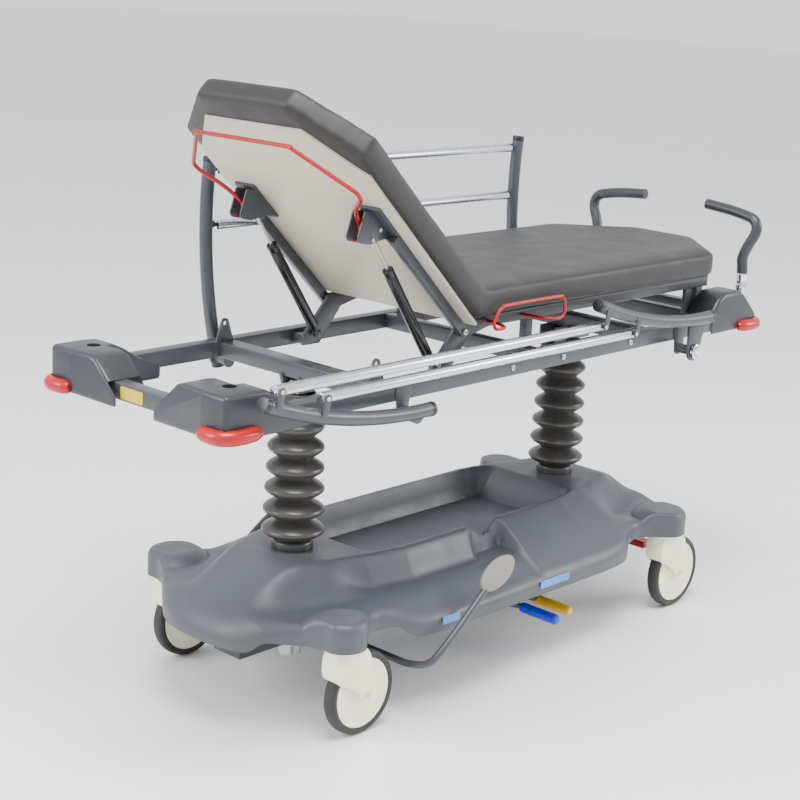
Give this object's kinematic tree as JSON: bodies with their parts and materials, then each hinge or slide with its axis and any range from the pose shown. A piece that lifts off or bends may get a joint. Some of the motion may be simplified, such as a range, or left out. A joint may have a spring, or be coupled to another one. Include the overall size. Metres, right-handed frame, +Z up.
{
  "type": "stretcher trolley",
  "caption": "Hospital stretcher trolley: swivel castors under a moulded base, two bellows-covered lift columns, tilting deck, folding side rails, reclining backrest and push handles.",
  "frame": {"origin": "Ground plane, centred between the four castors.", "axes": "+X toward the foot end with the push handles, -X toward the backrest end, -Y the near side whose side rail is folded, +Z up."},
  "size_m": [2.0314, 0.81, 1.4464],
  "materials": {
    "cover_plastic": "moulded, fine texture",
    "corner_plastic": "moulded, fine texture",
    "chassis_paint": "powder coat",
    "frame_paint": "powder coat, semi-gloss",
    "bellows_rubber": "satin",
    "castor_plastic": "gloss",
    "tyre_rubber": "matte, fine tread bands",
    "bright_steel": "ground",
    "rail_aluminium": "anodised, satin",
    "board_laminate": "smooth laminate",
    "mattress_cover": "coated fabric, welded seams",
    "strut_black": "gloss",
    "red_paint": "gloss powder coat",
    "bumper_red": "gloss",
    "pedal_grey": "textured",
    "grip_blue": "moulded",
    "grip_yellow": "moulded",
    "chrome": "polished"
  },
  "bodies": {
    "base": {"chassis_frame": "chassis_paint", "base_cover": "cover_plastic", "jack_cylinder_head": "bright_steel", "jack_cylinder_foot": "bright_steel", "bellows_head": "bellows_rubber", "bellows_foot": "bellows_rubber"},
    "head_ram": {"ram_head": "bright_steel"},
    "foot_sleeve": {"ram_foot_sleeve": "bright_steel"},
    "foot_rod": {"ram_foot_rod": "bright_steel"},
    "deck": {"main_frame": "frame_paint", "seat_board": "board_laminate", "mattress_seat": "mattress_cover", "corner_cover_head_near": "corner_plastic", "corner_cover_head_far": "corner_plastic", "corner_cover_foot_near": "corner_plastic", "corner_cover_foot_far": "corner_plastic", "bumper_head_near": "bumper_red", "bumper_head_far": "bumper_red", "bumper_foot_near": "bumper_red", "bumper_foot_far": "bumper_red", "wire_handle_near": "red_paint", "wire_handle_far": "red_paint"},
    "backrest": {"backrest_board": "board_laminate", "mattress_backrest": "mattress_cover", "backrest_arm_near": "frame_paint", "backrest_arm_far": "frame_paint"},
    "release_bar": {"release_bar": "red_paint"},
    "brake_pedal": {"brake_pedal": "red_paint"},
    "lever_blue": {"release_lever_blue": "grip_blue"},
    "lever_yellow": {"release_lever_yellow": "grip_yellow"},
    "strut_cylinder_near": {"strut_cylinder_near": "strut_black"},
    "strut_rod_near": {"strut_rod_near": "bright_steel"},
    "rail_head_post_near": {"rail_post_head_near": "frame_paint"},
    "rail_foot_post_near": {"rail_post_foot_near": "frame_paint"},
    "rail_tube_upper_near": {"rail_tube_upper_near": "rail_aluminium"},
    "rail_tube_lower_near": {"rail_tube_lower_near": "rail_aluminium"},
    "lock_knob_near": {"rail_lock_knob_near": "chrome"},
    "push_handle_near": {"push_handle_near": "corner_plastic"},
    "pump_pedal_near": {"pump_pedal_near": "pedal_grey"},
    "strut_cylinder_far": {"strut_cylinder_far": "strut_black"},
    "strut_rod_far": {"strut_rod_far": "bright_steel"},
    "rail_head_post_far": {"rail_post_head_far": "frame_paint"},
    "rail_foot_post_far": {"rail_post_foot_far": "frame_paint"},
    "rail_tube_upper_far": {"rail_tube_upper_far": "rail_aluminium"},
    "rail_tube_lower_far": {"rail_tube_lower_far": "rail_aluminium"},
    "lock_knob_far": {"rail_lock_knob_far": "chrome"},
    "push_handle_far": {"push_handle_far": "corner_plastic"},
    "pump_pedal_far": {"pump_pedal_far": "pedal_grey"},
    "castor_head_near": {"castor_fork_head_near": "castor_plastic"},
    "wheel_head_near": {"wheel_head_near": "castor_plastic", "tyre_head_near": "tyre_rubber"},
    "castor_head_far": {"castor_fork_head_far": "castor_plastic"},
    "wheel_head_far": {"wheel_head_far": "castor_plastic", "tyre_head_far": "tyre_rubber"},
    "castor_foot_near": {"castor_fork_foot_near": "castor_plastic"},
    "wheel_foot_near": {"wheel_foot_near": "castor_plastic", "tyre_foot_near": "tyre_rubber"},
    "castor_foot_far": {"castor_fork_foot_far": "castor_plastic"},
    "wheel_foot_far": {"wheel_foot_far": "castor_plastic", "tyre_foot_far": "tyre_rubber"}
  },
  "joints": [
    {"name": "lift", "type": "slide", "parent": "base", "child": "head_ram", "axis": [0, 0, 1], "range_m": [-0.22, 0], "deforming": ["bellows_head", "bellows_foot"]},
    {"name": "deck_tilt", "type": "hinge", "parent": "head_ram", "child": "deck", "pos_m": [-0.501, 0, 0.745], "axis": [0, 1, 0], "range_deg": [-6, 6]},
    {"name": "foot_lift", "type": "slide", "parent": "base", "child": "foot_sleeve", "axis": [0, 0, 1], "range_m": [-0.225, 0.005]},
    {"name": "foot_tilt_stage", "type": "slide", "parent": "foot_sleeve", "child": "foot_rod", "axis": [0, 0, 1], "range_m": [-0.11, 0.11]},
    {"name": "backrest_hinge", "type": "hinge", "parent": "deck", "child": "backrest", "pos_m": [-0.197, 0, 0.875], "axis": [0, 1, 0], "range_deg": [-44, 26]},
    {"name": "release_bar_hinge", "type": "hinge", "parent": "backrest", "child": "release_bar", "pos_m": [-0.51016, 0, 1.10981], "axis": [0, 1, 0], "range_deg": [0, 5], "stiffness_Nm_per_rad": 40, "springref_deg": -1.72},
    {"name": "strut_swing_near", "type": "hinge", "parent": "deck", "child": "strut_cylinder_near", "pos_m": [-0.257, -0.19, 0.7996], "axis": [0, 1, 0], "range_deg": [-46, 28]},
    {"name": "strut_stroke_near", "type": "slide", "parent": "strut_cylinder_near", "child": "strut_rod_near", "axis": [-0.5696, 0, 0.8219], "range_m": [-0.08, 0.05]},
    {"name": "side_rail_fold_near", "type": "hinge", "parent": "deck", "child": "rail_head_post_near", "pos_m": [-0.458, -0.35, 0.74], "axis": [0, 1, 0], "range_deg": [0, 75.5]},
    {"name": "side_rail_foot_post_near", "type": "hinge", "parent": "deck", "child": "rail_foot_post_near", "pos_m": [0.622, -0.35, 0.74], "axis": [0, 1, 0], "range_deg": [-0.5, 76]},
    {"name": "rail_tube_level_upper_near", "type": "hinge", "parent": "rail_head_post_near", "child": "rail_tube_upper_near", "pos_m": [-0.89891, -0.35, 0.86436], "axis": [0, 1, 0], "range_deg": [-76, 0.5]},
    {"name": "rail_tube_level_lower_near", "type": "hinge", "parent": "rail_head_post_near", "child": "rail_tube_lower_near", "pos_m": [-0.76821, -0.35, 0.83055], "axis": [0, 1, 0], "range_deg": [-76, 0.5]},
    {"name": "lock_knob_pull_near", "type": "slide", "parent": "deck", "child": "lock_knob_near", "axis": [0, -1, 0], "range_m": [0, 0.008], "stiffness_N_per_m": 800, "springref_m": -0.002},
    {"name": "push_handle_turn_near", "type": "hinge", "parent": "deck", "child": "push_handle_near", "pos_m": [0.96, -0.256, 0.885], "axis": [0, 0, 1], "range_deg": [-90, 90]},
    {"name": "pump_pedal_press_near", "type": "hinge", "parent": "base", "child": "pump_pedal_near", "pos_m": [-0.42, -0.095, 0.13], "axis": [0, 1, 0], "range_deg": [0, 18], "stiffness_Nm_per_rad": 60, "springref_deg": -2.86},
    {"name": "strut_swing_far", "type": "hinge", "parent": "deck", "child": "strut_cylinder_far", "pos_m": [-0.257, 0.19, 0.7996], "axis": [0, 1, 0], "range_deg": [-46, 28]},
    {"name": "strut_stroke_far", "type": "slide", "parent": "strut_cylinder_far", "child": "strut_rod_far", "axis": [-0.5696, 0, 0.8219], "range_m": [-0.08, 0.05]},
    {"name": "side_rail_fold_far", "type": "hinge", "parent": "deck", "child": "rail_head_post_far", "pos_m": [-0.458, 0.35, 0.74], "axis": [0, 1, 0], "range_deg": [-75.5, 0]},
    {"name": "side_rail_foot_post_far", "type": "hinge", "parent": "deck", "child": "rail_foot_post_far", "pos_m": [0.622, 0.35, 0.74], "axis": [0, 1, 0], "range_deg": [-76, 0.5]},
    {"name": "rail_tube_level_upper_far", "type": "hinge", "parent": "rail_head_post_far", "child": "rail_tube_upper_far", "pos_m": [-0.448, 0.35, 1.198], "axis": [0, 1, 0], "range_deg": [-0.5, 76]},
    {"name": "rail_tube_level_lower_far", "type": "hinge", "parent": "rail_head_post_far", "child": "rail_tube_lower_far", "pos_m": [-0.448, 0.35, 1.063], "axis": [0, 1, 0], "range_deg": [-0.5, 76]},
    {"name": "lock_knob_pull_far", "type": "slide", "parent": "deck", "child": "lock_knob_far", "axis": [0, 1, 0], "range_m": [0, 0.008], "stiffness_N_per_m": 800, "springref_m": -0.002},
    {"name": "push_handle_turn_far", "type": "hinge", "parent": "deck", "child": "push_handle_far", "pos_m": [0.96, 0.256, 0.885], "axis": [0, 0, 1], "range_deg": [-90, 90]},
    {"name": "pump_pedal_press_far", "type": "hinge", "parent": "base", "child": "pump_pedal_far", "pos_m": [-0.42, 0.095, 0.13], "axis": [0, 1, 0], "range_deg": [0, 18], "stiffness_Nm_per_rad": 60, "springref_deg": -2.86},
    {"name": "brake_pedal_rock", "type": "hinge", "parent": "base", "child": "brake_pedal", "pos_m": [0.585, 0, 0.194], "axis": [0, 1, 0], "range_deg": [-12, 12]},
    {"name": "blue_lever_press", "type": "hinge", "parent": "base", "child": "lever_blue", "pos_m": [0.065, -0.105, 0.12], "axis": [1, 0, 0], "range_deg": [0, 12], "stiffness_Nm_per_rad": 30, "springref_deg": -2.86},
    {"name": "yellow_lever_press", "type": "hinge", "parent": "base", "child": "lever_yellow", "pos_m": [0.14, -0.105, 0.12], "axis": [1, 0, 0], "range_deg": [0, 12], "stiffness_Nm_per_rad": 30, "springref_deg": -2.86},
    {"name": "castor_swivel_head_near", "type": "hinge", "parent": "base", "child": "castor_head_near", "pos_m": [-0.623, -0.298, 0.234], "axis": [0, 0, 1], "continuous": true},
    {"name": "wheel_spin_head_near", "type": "hinge", "parent": "castor_head_near", "child": "wheel_head_near", "pos_m": [-0.565, -0.298, 0.1], "axis": [0, 1, 0], "continuous": true},
    {"name": "castor_swivel_head_far", "type": "hinge", "parent": "base", "child": "castor_head_far", "pos_m": [-0.623, 0.298, 0.234], "axis": [0, 0, 1], "continuous": true},
    {"name": "wheel_spin_head_far", "type": "hinge", "parent": "castor_head_far", "child": "wheel_head_far", "pos_m": [-0.565, 0.298, 0.1], "axis": [0, 1, 0], "continuous": true},
    {"name": "castor_swivel_foot_near", "type": "hinge", "parent": "base", "child": "castor_foot_near", "pos_m": [0.623, -0.298, 0.234], "axis": [0, 0, 1], "continuous": true},
    {"name": "wheel_spin_foot_near", "type": "hinge", "parent": "castor_foot_near", "child": "wheel_foot_near", "pos_m": [0.681, -0.298, 0.1], "axis": [0, 1, 0], "continuous": true},
    {"name": "castor_swivel_foot_far", "type": "hinge", "parent": "base", "child": "castor_foot_far", "pos_m": [0.623, 0.298, 0.234], "axis": [0, 0, 1], "continuous": true},
    {"name": "wheel_spin_foot_far", "type": "hinge", "parent": "castor_foot_far", "child": "wheel_foot_far", "pos_m": [0.681, 0.298, 0.1], "axis": [0, 1, 0], "continuous": true}
  ],
  "couplings": [
    {"joint": "foot_lift", "follows": "lift", "ratio": 1},
    {"joint": "foot_tilt_stage", "follows": "deck_tilt", "m_per_rad": -1.002},
    {"joint": "strut_swing_near", "follows": "backrest_hinge", "ratio": 0.966},
    {"joint": "strut_stroke_near", "follows": "backrest_hinge", "m_per_rad": 0.0931},
    {"joint": "side_rail_foot_post_near", "follows": "side_rail_fold_near", "ratio": 1},
    {"joint": "rail_tube_level_upper_near", "follows": "side_rail_fold_near", "ratio": -1},
    {"joint": "rail_tube_level_lower_near", "follows": "side_rail_fold_near", "ratio": -1},
    {"joint": "strut_swing_far", "follows": "backrest_hinge", "ratio": 0.966},
    {"joint": "strut_stroke_far", "follows": "backrest_hinge", "m_per_rad": 0.0931},
    {"joint": "side_rail_foot_post_far", "follows": "side_rail_fold_far", "ratio": 1},
    {"joint": "rail_tube_level_upper_far", "follows": "side_rail_fold_far", "ratio": -1},
    {"joint": "rail_tube_level_lower_far", "follows": "side_rail_fold_far", "ratio": -1}
  ]
}
